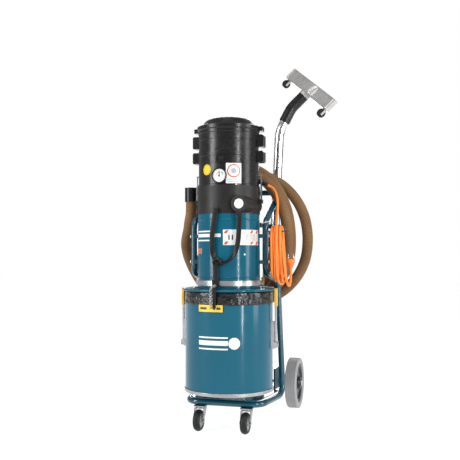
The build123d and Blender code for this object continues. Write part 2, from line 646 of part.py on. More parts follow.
CUFF_X, CUFF_Y, CUFF_LOW, CUFF_HIGH = -178.0, 95.0, 822.0, 876.0
CUFF_R, CUFF_BORE_R = 24.0, 19.0
with BuildPart() as hose_cuff:
    with BuildSketch(Plane.XY.offset(CUFF_LOW)):
        with Locations((CUFF_X, CUFF_Y)):
            Circle(CUFF_R)
    extrude(amount=CUFF_HIGH - CUFF_LOW)
    with BuildSketch(Plane.XY.offset(CUFF_HIGH)):
        with Locations((CUFF_X, CUFF_Y)):
            Circle(CUFF_BORE_R)
    extrude(amount=-40, mode=Mode.SUBTRACT)
save(hose_cuff, "hose_cuff")

cord_tube("hose_tail", [(CUFF_X, CUFF_Y, CUFF_LOW), (CUFF_X, CUFF_Y, 774), (-187, 100, 728),
                        (-202, 114, 688), (-214, 136, 652)], HOSE_R)

WAND_LOW = 690.0
wand_start = Vector(wand_x(WAND_LOW), WAND_Y, WAND_LOW)
lean = Vector(WAND_LEAN, 0, 1).normalized()
with BuildPart() as wand_cuff:
    with BuildSketch(Plane(origin=wand_start - lean * 40, z_dir=lean)):
        Circle(CUFF_R)
    extrude(amount=64)
    with BuildSketch(Plane(origin=wand_start, z_dir=lean)):
        Circle(WAND_R)
    extrude(amount=24, mode=Mode.SUBTRACT)
    with BuildSketch(Plane(origin=wand_start - lean * 40, z_dir=lean)):
        Circle(17)
    extrude(amount=40, mode=Mode.SUBTRACT)
save(wand_cuff, "wand_cuff")

lead_start = wand_start - lean * 40
lead_second = wand_start - lean * 86
cord_tube("hose_lead", [(lead_start.X, lead_start.Y, lead_start.Z),
                        (lead_second.X, lead_second.Y, lead_second.Z),
                        (93, 290, 556), (68, 297, 510), (28, 304, 474), (-24, 308, 450),
                        (-84, 304, 444)], HOSE_R)

# ------------------------------------------------------------ wand and nozzle
wand_bend = (wand_x(1112), WAND_Y, 1112)
wand_end = Vector(157, 289, 1166)
save(bent_tube([(wand_start.X, wand_start.Y, wand_start.Z), wand_bend,
                (wand_end.X, wand_end.Y, wand_end.Z)], [140], WAND_R, WAND_R - WAND_WALL),
     "wand_tube")

elbow_dir = (wand_end - Vector(*wand_bend)).normalized()
neck_dir = Vector(0.72, 0.04, 0.69).normalized()
top_dir = Vector(0.57, -0.67, -0.48).cross(neck_dir).normalized()
long_dir = neck_dir.cross(top_dir)
socket_start = wand_end - elbow_dir * 22
elbow_corner = wand_end + elbow_dir * 42
neck = elbow_corner + neck_dir * 68
with BuildPart() as wand_elbow:
    with BuildLine() as elbow_path:
        FilletPolyline(socket_start, elbow_corner, neck, radius=75)
    with BuildSketch(Plane(origin=socket_start, z_dir=elbow_dir)):
        Circle(22)
    sweep(path=elbow_path.wire())
    with BuildSketch(Plane(origin=socket_start, z_dir=elbow_dir)):
        Circle(16.5)
    sweep(path=elbow_path.wire(), mode=Mode.SUBTRACT)
    with BuildSketch(Plane(origin=socket_start, z_dir=elbow_dir)):
        Circle(WAND_R)
    extrude(amount=22, mode=Mode.SUBTRACT)
save(wand_elbow, "wand_elbow")

NOZZLE_HALF, NOZZLE_REAR, NOZZLE_FRONT = 185.0, 12.0, 64.0
ROLLER_Y, ROLLER_X = -7.0, 168.0
nozzle_plane = Plane(origin=neck, x_dir=long_dir, z_dir=top_dir)
with BuildPart(nozzle_plane) as nozzle_body:
    with Locations((0, (NOZZLE_REAR + NOZZLE_FRONT) / 2, -1)):
        Box(2 * NOZZLE_HALF, NOZZLE_FRONT - NOZZLE_REAR, 22)
    chamfer(nozzle_body.edges().group_by(Axis(neck, top_dir))[-1], 5)
    with Locations((0, 36, 4)):
        Box(78, 48, 30)
    with Locations((0, (NOZZLE_REAR + NOZZLE_FRONT) / 2, -6)):
        Box(2 * NOZZLE_HALF - 16, NOZZLE_FRONT - NOZZLE_REAR - 16, 16, mode=Mode.SUBTRACT)
    with Locations(Location((0, 0.2, 0), (-90, 0, 0))):
        Cylinder(22, 24, align=(Align.CENTER, Align.CENTER, Align.MIN))
    with Locations(Location((0, -18, 0), (-90, 0, 0))):
        Cylinder(16.45, 40, align=(Align.CENTER, Align.CENTER, Align.MIN))
        Cylinder(13.5, 60, align=(Align.CENTER, Align.CENTER, Align.MIN), mode=Mode.SUBTRACT)
    for side in (-1, 1):
        for ear in (-1, 1):
            with Locations((side * ROLLER_X + ear * 7.5, 1, -4)):
                Box(3, 26, 9)
        with Locations(Location((side * ROLLER_X, ROLLER_Y, -4), (0, 90, 0))):
            Cylinder(3, 18)
save(nozzle_body, "nozzle_body")

for side, name in ((-1, "left"), (1, "right")):
    with BuildPart(nozzle_plane) as nozzle_wheel:
        with Locations(Location((side * ROLLER_X, ROLLER_Y, -4), (0, 90, 0))):
            Cylinder(16.5, 10)
            Cylinder(3.05, 20, mode=Mode.SUBTRACT)
    save(nozzle_wheel, f"{name}_nozzle_wheel")

CLIP_LOW_Z = 730.0
with BuildPart() as wand_clips:
    for height in (CLIP_LOW_Z, GRIP_Z):
        with BuildSketch(Plane(origin=(wand_x(height), WAND_Y, height), z_dir=lean)):
            Circle(CUFF_R)
        extrude(amount=9, both=True)
    with Locations((95, 170, CLIP_LOW_Z)):
        Box(18, 220, 16)
    with Locations((95, 266, GRIP_Z)):
        Box(18, 24, 16)
    Cylinder(HOUSING_R, 1000, align=(Align.CENTER, Align.CENTER, Align.MIN), mode=Mode.SUBTRACT)
    with Locations(Location((0, GRIP_Y, GRIP_Z), (0, 90, 0))):
        Cylinder(TUBE_R, 260, mode=Mode.SUBTRACT)
    with BuildSketch(Plane(origin=wand_start, z_dir=lean)):
        Circle(WAND_R)
    extrude(amount=300, mode=Mode.SUBTRACT)
save(wand_clips, "wand_clips")
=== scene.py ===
"""Looks of the dust collector on its two-wheel trolley.

Metres, +Z up, the front faces -Y. Most sizes below are written in millimetres
and go through mm() or MM.
"""
import math

import bpy
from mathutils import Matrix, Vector, noise


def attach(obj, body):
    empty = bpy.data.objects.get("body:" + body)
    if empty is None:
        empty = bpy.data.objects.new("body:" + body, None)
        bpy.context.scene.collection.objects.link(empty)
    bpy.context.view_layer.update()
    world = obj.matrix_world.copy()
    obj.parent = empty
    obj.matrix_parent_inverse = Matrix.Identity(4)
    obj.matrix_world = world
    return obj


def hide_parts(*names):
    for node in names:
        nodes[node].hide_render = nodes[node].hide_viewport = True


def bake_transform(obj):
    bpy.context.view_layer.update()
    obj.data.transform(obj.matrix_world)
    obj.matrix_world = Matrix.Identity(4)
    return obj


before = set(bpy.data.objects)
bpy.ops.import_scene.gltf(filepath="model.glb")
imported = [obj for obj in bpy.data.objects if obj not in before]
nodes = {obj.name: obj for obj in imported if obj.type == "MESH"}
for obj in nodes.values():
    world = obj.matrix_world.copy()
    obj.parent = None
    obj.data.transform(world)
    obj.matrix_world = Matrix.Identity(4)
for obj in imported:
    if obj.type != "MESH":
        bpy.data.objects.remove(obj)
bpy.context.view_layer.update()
scene = bpy.context.scene

MM = 0.001
BIN_R, HOUSING_R, HEAD_R = 158.0, 112.5, 110.0


def mm(x, y, z):
    """A point given in millimetres."""
    return Vector((x, y, z)) * MM


def smooth(share):
    """Ease from 0 to 1."""
    share = min(1.0, max(0.0, share))
    return share * share * (3 - 2 * share)


# ------------------------------------------------------------------ materials
class Shader:
    """A Principled material whose detail is built from the object's coordinates."""

    def __init__(self, name):
        self.material = bpy.data.materials.new(name)
        self.material.use_nodes = True
        self.tree = self.material.node_tree
        self.surface = self.tree.nodes["Principled BSDF"]
        self.place = self.add("ShaderNodeTexCoord").outputs["Object"]

    def add(self, kind, **settings):
        node = self.tree.nodes.new(kind)
        for key, value in settings.items():
            if key in node.inputs:
                node.inputs[key].default_value = value
            else:
                setattr(node, key, value)
        return node

    def link(self, source, target):
        self.tree.links.new(source, target)

    def set(self, **values):
        for key, value in values.items():
            self.surface.inputs[key.replace("_", " ")].default_value = value

    def noise(self, scale, detail=4.0, stretch=None):
        """A noise value from 0 to 1. stretch scales the coordinates along each axis."""
        node = self.add("ShaderNodeTexNoise", Scale=scale, Detail=detail)
        place = self.place
        if stretch:
            mapping = self.add("ShaderNodeMapping")
            mapping.inputs["Scale"].default_value = stretch
            self.link(place, mapping.inputs["Vector"])
            place = mapping.outputs["Vector"]
        self.link(place, node.inputs["Vector"])
        return node.outputs["Fac"]

    def spread(self, value, low, high, source=(0.3, 0.7)):
        """Map a 0 to 1 value to a range."""
        node = self.add("ShaderNodeMapRange")
        for key, number in (("From Min", source[0]), ("From Max", source[1]),
                            ("To Min", low), ("To Max", high)):
            node.inputs[key].default_value = number
        self.link(value, node.inputs["Value"])
        return node.outputs["Result"]

    def mix(self, value, first, second):
        """Mix two colours, each a tuple or a socket, by a value."""
        node = self.add("ShaderNodeMix", data_type="RGBA")
        self.link(value, node.inputs[0])
        for index, colour in ((6, first), (7, second)):
            if isinstance(colour, tuple):
                node.inputs[index].default_value = (*colour, 1)
            else:
                self.link(colour, node.inputs[index])
        return node.outputs[2]

    def maths(self, operation, first, second=None):
        node = self.add("ShaderNodeMath", operation=operation)
        for index, value in enumerate((first, second)):
            if value is None:
                continue
            if isinstance(value, (int, float)):
                node.inputs[index].default_value = value
            else:
                self.link(value, node.inputs[index])
        return node.outputs[0]

    def colour(self, socket):
        self.link(socket, self.surface.inputs["Base Color"])

    def rough(self, socket):
        self.link(socket, self.surface.inputs["Roughness"])

    def bump(self, value, depth, strength=1.0):
        """Relief of that depth in metres."""
        node = self.add("ShaderNodeBump", Distance=depth, Strength=strength)
        self.link(value, node.inputs["Height"])
        if self.surface.inputs["Normal"].is_linked:
            self.link(self.surface.inputs["Normal"].links[0].from_socket, node.inputs["Normal"])
        self.link(node.outputs["Normal"], self.surface.inputs["Normal"])

    def radius_from(self, centre):
        """Distance from an axis along X through centre (millimetres), in metres."""
        shift = self.add("ShaderNodeMapping")
        shift.inputs["Location"].default_value = -mm(*centre)
        self.link(self.place, shift.inputs["Vector"])
        split = self.add("ShaderNodeSeparateXYZ")
        self.link(shift.outputs["Vector"], split.inputs[0])
        squares = [self.maths("MULTIPLY", split.outputs[i], split.outputs[i]) for i in (1, 2)]
        return self.maths("SQRT", self.maths("ADD", *squares))


def tint(colour, factor):
    return tuple(min(1.0, part * factor) for part in colour)


def finish_of(name, colour, roughness, metallic=0.0, coat=0.0, mottle=0.12, mottle_scale=9.0,
              grain=0.0, grain_scale=900.0, wear=0.08, stretch=None, gloss=0.5):
    """A material with colour drift, uneven gloss and a fine surface grain."""
    shader = Shader(name)
    shader.set(Metallic=metallic, Coat_Weight=coat, Coat_Roughness=0.08,
               Specular_IOR_Level=gloss)
    drift = shader.spread(shader.noise(mottle_scale, 5.0, stretch), 0.0, 1.0)
    shader.colour(shader.mix(drift, tint(colour, 1 - mottle), tint(colour, 1 + mottle)))
    scuff = shader.noise(mottle_scale * 7, 6.0, stretch)
    shader.rough(shader.spread(scuff, max(0.02, roughness - wear), roughness + wear))
    if grain:
        shader.bump(shader.noise(grain_scale, 2.0, stretch), grain)
    return shader


TEAL = (0.002, 0.094, 0.150)
paint = finish_of("drum_paint_looks", TEAL, 0.17, coat=0.12, mottle=0.08, mottle_scale=5.0,
                  wear=0.05, grain=0.00004, grain_scale=420.0, gloss=0.24)
frame_paint = finish_of("frame_paint_looks", tint(TEAL, 0.66), 0.2, coat=0.4, mottle=0.10,
                        grain=0.00006, grain_scale=500.0)
black_plastic = finish_of("black_plastic_looks", (0.0075, 0.0068, 0.007), 0.27, mottle=0.25,
                          grain=0.00004, grain_scale=1100.0, gloss=0.4)
inlet_plastic = finish_of("inlet_plastic_looks", (0.010, 0.0088, 0.0085), 0.42, mottle=0.2,
                          grain=0.00014, grain_scale=1300.0, gloss=0.35)
bright_steel = finish_of("bright_steel_looks", (0.40, 0.41, 0.42), 0.3, 1.0, wear=0.12,
                         mottle=0.08, grain=0.00004, grain_scale=700.0, stretch=(1, 1, 9))
zinc = finish_of("zinc_looks", (0.38, 0.39, 0.41), 0.34, 1.0, mottle=0.22, mottle_scale=60.0,
                 grain=0.00005)
hub_black = finish_of("hub_black_looks", (0.008, 0.008, 0.009), 0.36, mottle=0.3,
                      grain=0.00015, grain_scale=800.0)
grey_rubber = finish_of("grey_rubber_looks", (0.33, 0.33, 0.335), 0.62, mottle=0.10,
                        mottle_scale=14.0, grain=0.0002, grain_scale=650.0)
strap_rubber = finish_of("strap_rubber_looks", (0.007, 0.0065, 0.0065), 0.42, mottle=0.3,
                         mottle_scale=30.0, grain=0.00012, grain_scale=500.0, gloss=0.3)
latch_steel = finish_of("latch_steel_looks", (0.48, 0.49, 0.51), 0.26, 1.0, mottle=0.18,
                        mottle_scale=40.0, wear=0.12)
chrome = finish_of("chrome_looks", (0.80, 0.81, 0.82), 0.07, 1.0, mottle=0.04, wear=0.03,
                   mottle_scale=18.0)
aluminium = finish_of("cast_aluminium_looks", (0.50, 0.49, 0.48), 0.42, 0.75, mottle=0.14,
                      mottle_scale=40.0, grain=0.00016, grain_scale=420.0)
orange_plug = finish_of("cable_orange_looks", (0.86, 0.20, 0.02), 0.38, mottle=0.08,
                        mottle_scale=60.0, grain=0.0001)
filter_paper = finish_of("filter_paper_looks", (0.72, 0.69, 0.60), 0.9, grain=0.0003)
motor_metal = finish_of("motor_metal_looks", (0.36, 0.37, 0.38), 0.35, 1.0, mottle=0.2)
needle_black = finish_of("needle_black_looks", (0.015, 0.015, 0.015), 0.4)
bolt_white = finish_of("bolt_white_looks", (0.72, 0.72, 0.70), 0.35, mottle=0.1)
label_white = finish_of("label_white", (0.78, 0.78, 0.77), 0.34, mottle=0.04, coat=0.2,
                        grain=0.00003)
label_red = finish_of("label_red", (0.62, 0.05, 0.02), 0.34, mottle=0.07)
label_yellow = finish_of("label_yellow", (0.88, 0.58, 0.02), 0.34, mottle=0.06)
label_ink = finish_of("label_ink", (0.04, 0.04, 0.045), 0.42, mottle=0.15)
label_grey = finish_of("label_grey", (0.34, 0.36, 0.38), 0.42, mottle=0.12)
label_green = finish_of("label_green", (0.03, 0.34, 0.14), 0.4, mottle=0.08)
label_orange = finish_of("label_orange", (0.66, 0.15, 0.05), 0.4, mottle=0.12)


def caster_material(name, x):
    """Black tread round a grey plastic centre."""
    shader = finish_of(name, (0.010, 0.010, 0.011), 0.5, mottle=0.2, grain=0.0002,
                       gloss=0.3)
    centre = shader.spread(shader.radius_from((x, -92, 37.5)), 1.0, 0.0, (0.0245, 0.0255))
    rubber = shader.surface.inputs["Base Color"].links[0].from_socket
    shader.colour(shader.mix(centre, rubber, (0.33, 0.335, 0.34)))
    return shader


def hose_material():
    """Brown woven hose: fine rings across it and threads along it, from its UVs, with painted
    shade in the hollows between them and lighter crests.
    """
    shader = Shader("hose_brown_looks")
    place = shader.add("ShaderNodeUVMap").outputs["UV"]
    split = shader.add("ShaderNodeSeparateXYZ")
    shader.link(place, split.inputs[0])
    along, around = split.outputs[0], split.outputs[1]
    ring = shader.maths("SINE", shader.maths("MULTIPLY", along, 2 * math.pi))
    thread = shader.maths("SINE", shader.maths("MULTIPLY", around, 2 * math.pi * 36))
    weave = shader.maths("MULTIPLY", ring, thread)
    # Painted shade and highlight: the brown runs from dark in the low hollows between ribs and
    # threads to light on their crests.
    lift = shader.spread(shader.maths("ADD", weave, ring), 0.0, 1.0, (-1.5, 1.5))
    drift = shader.spread(shader.noise(11.0, 5.0), 0.0, 1.0)
    hollow_shade_brown = shader.mix(drift, (0.062, 0.030, 0.011), (0.100, 0.051, 0.020))
    light = shader.mix(drift, (0.262, 0.135, 0.054), (0.350, 0.196, 0.084))
    shader.colour(shader.mix(lift, hollow_shade_brown, light))
    shader.rough(shader.spread(shader.noise(70.0, 4.0), 0.52, 0.76))
    shader.set(Sheen_Weight=0.05, Specular_IOR_Level=0.25)
    shader.bump(ring, 0.0007, 0.8)
    shader.bump(weave, 0.0004, 0.8)
    return shader


def cable_material():
    """Orange sheath with a faint drift of colour and small scuffs."""
    shader = finish_of("cable_sheath_looks", (0.90, 0.225, 0.022), 0.36, mottle=0.09,
                       mottle_scale=24.0, grain=0.00012, grain_scale=900.0)
    shader.set(Subsurface_Weight=0.06, Subsurface_Radius=(0.01, 0.003, 0.001))
    return shader


def film_material():
    """Thin black polythene with sharp small creases."""
    shader = finish_of("bag_film_looks", (0.006, 0.0055, 0.0055), 0.15, mottle=0.3,
                       mottle_scale=30.0, wear=0.06)
    shader.bump(shader.noise(42.0, 4.0, (0.8, 0.8, 1.3)), 0.006, 0.7)
    shader.bump(shader.noise(130.0, 3.0), 0.0010, 0.5)
    return shader


hose_brown, cable_orange, bag_film = hose_material(), cable_material(), film_material()

FINISHES = {
    frame_paint: ("base_tube", "left_upright", "right_upright", "handle_bar", "base_plate",
                  "frame_brackets"),
    paint: ("bin", "lid", "housing"),
    bright_steel: ("clamp_band", "rear_axle", "bin_ring", "chain"),
    zinc: ("caster_plates", "left_caster_fork", "right_caster_fork"),
    hub_black: ("left_hub", "right_hub"),
    grey_rubber: ("left_tyre", "right_tyre"),
    black_plastic: ("motor_housing", "housing_clips", "top_cap", "gauge_case",
                    "switch_frame", "wand_clips", "hose_cuff", "wand_cuff", "wand_elbow",
                    "cable_gland", "vortex_tube", "rocker"),
    inlet_plastic: ("inlet_section", "inlet_cap"),
    strap_rubber: ("strap_fittings", "left_nozzle_wheel", "right_nozzle_wheel"),
    latch_steel: ("left_head_latch", "right_head_latch", "latch_brackets"),
    chrome: ("wand_tube",),
    aluminium: ("nozzle_body", "impeller"),
    filter_paper: ("filter_cartridge",),
    motor_metal: ("vacuum_motor",),
    needle_black: ("gauge_needle",),
    bolt_white: ("frame_bolts",),
    caster_material("left_caster_looks", -85): ("left_caster_wheel",),
    caster_material("right_caster_looks", 85): ("right_caster_wheel",),
}


def paint_node(name, shader):
    """Give a CAD node its looks."""
    slots = nodes[name].data.materials
    if not len(slots):
        slots.append(shader.material)
    for index in range(len(slots)):
        slots[index] = shader.material


for shader, names in FINISHES.items():
    for node_name in names:
        paint_node(node_name, shader)


def two_tone(name, low, high, low_z, blend=0.0004):
    """A material that changes from low to high at a height (millimetres)."""
    shader = Shader(name)
    split = shader.add("ShaderNodeSeparateXYZ")
    shader.link(shader.place, split.inputs[0])
    step = shader.spread(split.outputs[2], 0.0, 1.0, (low_z * MM - blend, low_z * MM + blend))
    drift = shader.spread(shader.noise(40.0), 0.88, 1.12)
    blended = shader.mix(step, low[0], high[0])
    hue = shader.add("ShaderNodeHueSaturation")
    shader.link(blended, hue.inputs["Color"])
    shader.link(drift, hue.inputs["Value"])
    shader.colour(hue.outputs["Color"])
    shader.link(shader.spread(step, low[1], high[1], (0, 1)), shader.surface.inputs["Metallic"])
    shader.rough(shader.spread(shader.noise(120.0), 0.2, 0.38))
    shader.bump(shader.noise(900.0, 2.0), 0.00006)
    return shader


STEEL_TONE, YELLOW_TONE = ((0.48, 0.49, 0.51), 1.0), ((0.80, 0.47, 0.02), 0.0)
latch_looks = two_tone("latch_looks", STEEL_TONE, YELLOW_TONE, 436)
lever_looks = two_tone("lever_looks", STEEL_TONE, YELLOW_TONE, 519)
for node_name in ("left_latch", "right_latch"):
    paint_node(node_name, latch_looks)
paint_node("band_lever", lever_looks)


# -------------------------------------------------------------- mesh building
def mesh_object(name, vertices, faces, shader, rounded=True):
    mesh = bpy.data.meshes.new(name)
    mesh.from_pydata([tuple(v) for v in vertices], [], faces)
    mesh.validate()
    for polygon in mesh.polygons:
        polygon.use_smooth = rounded
    mesh.materials.append(shader.material)
    piece = bpy.data.objects.new(name, mesh)
    scene.collection.objects.link(piece)
    return piece


def soften(piece, width, segments=2, angle=35.0):
    """Round a piece's sharp edges."""
    bevel = piece.modifiers.new("soft_edges", "BEVEL")
    bevel.width, bevel.segments = width * MM, segments
    bevel.limit_method, bevel.angle_limit = "ANGLE", math.radians(angle)
    return piece


def grid_faces(columns, rows, closed_columns=False, closed_rows=False):
    """Faces of a grid whose vertices run column by column."""
    faces = []
    for i in range(columns if closed_columns else columns - 1):
        for j in range(rows if closed_rows else rows - 1):
            right, up = (i + 1) % columns, (j + 1) % rows
            faces.append((i * rows + j, right * rows + j, right * rows + up, i * rows + up))
    return faces


def closed_faces(columns, rows):
    """Faces of a slab made of two grids, the one facing inwards first."""
    count = columns * rows
    flat = grid_faces(columns, rows)
    faces = [tuple(reversed(face)) for face in flat]
    faces += [tuple(index + count for index in face) for face in flat]
    rim = ([i * rows for i in range(columns)]
           + [(columns - 1) * rows + j for j in range(1, rows)]
           + [i * rows + rows - 1 for i in reversed(range(columns - 1))]
           + [j for j in reversed(range(1, rows - 1))])
    for here, after in zip(rim, rim[1:] + rim[:1]):
        faces.append((here, after, after + count, here + count))
    return faces


def turned(name, profile, shader, origin, axis, segments=64):
    """A closed profile of (radius, height) in millimetres, turned about an axis."""
    turn = Vector(axis).to_track_quat("Z", "Y").to_matrix()
    vertices = []
    for i in range(segments):
        angle = 2 * math.pi * i / segments
        for radius, height in profile:
            local = Vector((radius * math.cos(angle), radius * math.sin(angle), height)) * MM
            vertices.append(mm(*origin) + turn @ local)
    faces = grid_faces(segments, len(profile), closed_columns=True, closed_rows=True)
    return soften(mesh_object(name, vertices, faces, shader), 0.35, angle=30.0)


def patch(name, outline, place, shader, columns=24, rows=2, thick=0.25, base=0.05):
    """A thin closed sheet. outline(u, v) gives (across, up) in millimetres, and
    place(across, up, lift) the point on the surface."""
    layers = []
    for lift in (base, base + thick):
        layers.append([place(*outline(i / (columns - 1), j / (rows - 1)), lift)
                       for i in range(columns) for j in range(rows)])
    return mesh_object(name, layers[0] + layers[1], closed_faces(columns, rows), shader,
                       rounded=False)


def round_drum(radius, azimuth, height):
    """Place points on a drum; azimuth in degrees from the front towards +X."""
    def place(across, up, lift):
        angle = math.radians(azimuth) + across / radius
        reach = radius + lift
        return mm(reach * math.sin(angle), -reach * math.cos(angle), height + up)
    return place


def bar(left, right, low, high, slant=0.0):
    """Outline of a rectangle, or of a slanted bar."""
    return lambda u, v: (left + (right - left) * u + slant * v, low + (high - low) * v)


def ring(inner, outer, start=0.0, end=360.0, x=0.0, y=0.0):
    """Outline of a ring or of an arc of one, clockwise from the top."""
    def outline(u, v):
        angle = math.radians(start + (end - start) * u)
        reach = inner + (outer - inner) * v
        return x + reach * math.sin(angle), y + reach * math.cos(angle)
    return outline


# ------------------------------------------------------------------ cord lines
def spline_curve(name, points, radius=0.0, shader=None, resolution=12):
    """One open NURBS line through millimetre control points."""
    curve = bpy.data.curves.new(name, "CURVE")
    curve.dimensions = "3D"
    curve.resolution_u = resolution
    curve.bevel_depth = radius * MM
    curve.bevel_resolution = 7
    curve.use_fill_caps = True
    line = curve.splines.new("NURBS")
    line.points.add(len(points) - 1)
    for control, point in zip(line.points, points):
        control.co = (*mm(*point), 1.0)
    line.order_u = 3
    line.use_endpoint_u = True
    line.use_smooth = True
    if shader:
        curve.materials.append(shader.material)
    piece = bpy.data.objects.new(name, curve)
    scene.collection.objects.link(piece)
    return piece


def line_points(points, resolution=12):
    """Points along the smooth line of a route."""
    guide = spline_curve("guide", points, resolution=resolution)
    mesh = bpy.data.meshes.new_from_object(guide)
    found = [vertex.co.copy() for vertex in mesh.vertices]
    curve = guide.data
    bpy.data.objects.remove(guide)
    bpy.data.curves.remove(curve)
    bpy.data.meshes.remove(mesh)
    return found


def lengths(path):
    """Distance along the path at each of its points."""
    total, runs = 0.0, [0.0]
    for before, here in zip(path, path[1:]):
        total += (here - before).length
        runs.append(total)
    return runs


def carried_frames(path, first_side):
    """(tangent, side, up) along a path, turning no more than it does."""
    frames, side = [], first_side
    for i in range(len(path)):
        tangent = (path[min(i + 1, len(path) - 1)] - path[max(i - 1, 0)]).normalized()
        side = (side - tangent * side.dot(tangent)).normalized()
        frames.append((tangent, side, tangent.cross(side)))
    return frames


def swept(name, path, section, shader, first_side, twist=lambda share: 0.0, step=None):
    """A closed mesh tube along a path. section(i, share) gives (side, up) offsets."""
    frames, runs = carried_frames(path, first_side), lengths(path)
    vertices, count = [], len(section(0, 0.0))
    for i, (point, (_, side, up)) in enumerate(zip(path, frames)):
        turn = twist(runs[i] / runs[-1])
        across = side * math.cos(turn) + up * math.sin(turn)
        out = up * math.cos(turn) - side * math.sin(turn)
        for a, b in section(i, runs[i]):
            vertices.append(point + across * a + out * b)
    faces = grid_faces(len(path), count, closed_rows=True)
    faces.append(tuple(reversed(range(count))))
    faces.append(tuple((len(path) - 1) * count + j for j in range(count)))
    piece = mesh_object(name, vertices, faces, shader)
    if step:
        layer = piece.data.uv_layers.new(name="UVMap")
        for polygon in piece.data.polygons:
            corners = [piece.data.loops[k].vertex_index for k in polygon.loop_indices]
            wraps = len(corners) == 4 and {v % count for v in corners} >= {0, count - 1}
            for k, vertex in zip(polygon.loop_indices, corners):
                around = vertex % count
                if wraps and around == 0:
                    around = count
                layer.data[k].uv = (runs[vertex // count] / step, around / count)
    return piece


# ----------------------------------------------------------------------- hose
HOSE_R, HOSE_RIB, RIB_DEPTH = 20.5, 5.0, 0.45
# Outermost points of the turns: (x, y, z) at the bottom, left, top, right, and on.
HOSE_TURNS = [(-15, 304, 440), (-246, 262, 680), (-4, 222, 944), (254, 212, 690),
              (0, 270, 427), (-234, 222, 680), (-2, 172, 962), (196, 168, 690),
              (-10, 229, 430), (-220, 181, 680), (-6, 134, 944), (192, 128, 690),
              (-12, 188, 427), (-224, 139, 690)]
HOSE_LEAD = [(106.25, 285, 650.05), (103.9, 285, 604), (93, 290, 556), (68, 297, 510),
             (28, 304, 474), (-24, 308, 452)]
HOSE_TAIL = [(-214, 136, 652), (-202, 114, 688), (-187, 100, 728), (-178, 95, 774),
             (-178, 95, 822)]
POINTS_A_QUARTER, REAR_BELOW = 4, 545.0
TURN_GROWTH, GROWTH_X, GROWTH_Z = 1.012, -5, 690    # the turns grow about this centre


def coil_points():
    """Control points of the hose's turns, each quarter an arc of its own size."""
    points = []
    for number, (start, end) in enumerate(zip(HOSE_TURNS, HOSE_TURNS[1:])):
        from_side = number % 2 == 1
        side, crest = (start, end) if from_side else (end, start)
        for part in range(POINTS_A_QUARTER):
            turn = math.pi / 2 * part / POINTS_A_QUARTER
            sideways, upward = ((math.cos(turn), math.sin(turn)) if from_side
                                else (math.sin(turn), math.cos(turn)))
            x = crest[0] + (side[0] - crest[0]) * sideways
            z = side[2] + (crest[2] - side[2]) * upward
            if crest[2] < side[2]:
                share = smooth((z - REAR_BELOW) / (side[2] - REAR_BELOW))
                y = crest[1] + (side[1] - crest[1]) * share
            else:
                share = smooth((z - side[2]) / (crest[2] - side[2]))
                y = side[1] + (crest[1] - side[1]) * share
            points.append(((x - GROWTH_X) * TURN_GROWTH + GROWTH_X, y,
                           (z - GROWTH_Z) * TURN_GROWTH + GROWTH_Z))
    return points[1:]


hose_line = line_points(HOSE_LEAD + coil_points() + HOSE_TAIL, resolution=64)
HOSE_SIDES = 24
HOSE_CIRCLE = [(math.cos(2 * math.pi * k / HOSE_SIDES), math.sin(2 * math.pi * k / HOSE_SIDES))
               for k in range(HOSE_SIDES)]


def hose_section(i, run):
    """Shallow ribs along the hose."""
    wave = math.sin(2 * math.pi * run / (HOSE_RIB * MM))
    radius = (HOSE_R + RIB_DEPTH * (wave - 1) / 2) * MM
    return [(radius * a, radius * b) for a, b in HOSE_CIRCLE]


hose = swept("suction_hose", hose_line, hose_section, hose_brown, Vector((1, 0, 0)),
             step=HOSE_RIB * MM)
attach(hose, "trolley")
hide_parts("hose_coil", "hose_lead", "hose_tail")

# ----------------------------------------------------------------- mains cable
CABLE_R, HOOK_Z, HANK_Y = 4.5, 704.0, 5.0
LAYER_REACH = (26.0, 35.5, 45.0)            # half depth of each layer of turns
LAYER_LOW, LAYER_RISE = (546, 530, 519), 9.4
TOP_X, LOW_X = (164.5, 174, 183.5, 193), (166, 178, 190, 202)    # one for each column
SLACK = (0, 4, 1, 6)                        # how much lower each column hangs
RUN_SHARES, FOLD_ANGLES = (0.1, 0.5, 0.9), (36, 72, 108, 144)
FOLD = 1.07                                 # control points lie this far outside a fold
CABLE_START = [(138.5, 30, 872.7), (151.2, 30, 866.8), (162, 28.5, 857), (170, 25, 843),
               (176, 18, 824), (180, 8, 803), (182, -4, 782), (183, -17, 760),
               (184, -28, 738), (184.5, -35, 716)]
CABLE_END = [(196, -21, 676), (203, -25, 650), (209, -33, 620), (214, -42, 590),
             (218, -49, 560), (222, -48, 532), (225, -34, 512), (227, -14, 511),
             (228, -1, 530), (228, 0, 552), (228, 0, 572)]


def strand(column, layer):
    """(x at the top, x at the bottom, half depth, top, bottom) of one turn."""
    return (TOP_X[column], LOW_X[column], LAYER_REACH[layer],
            HOOK_Z + 2.5 + CABLE_R + LAYER_RISE * layer, LAYER_LOW[layer] - SLACK[column])


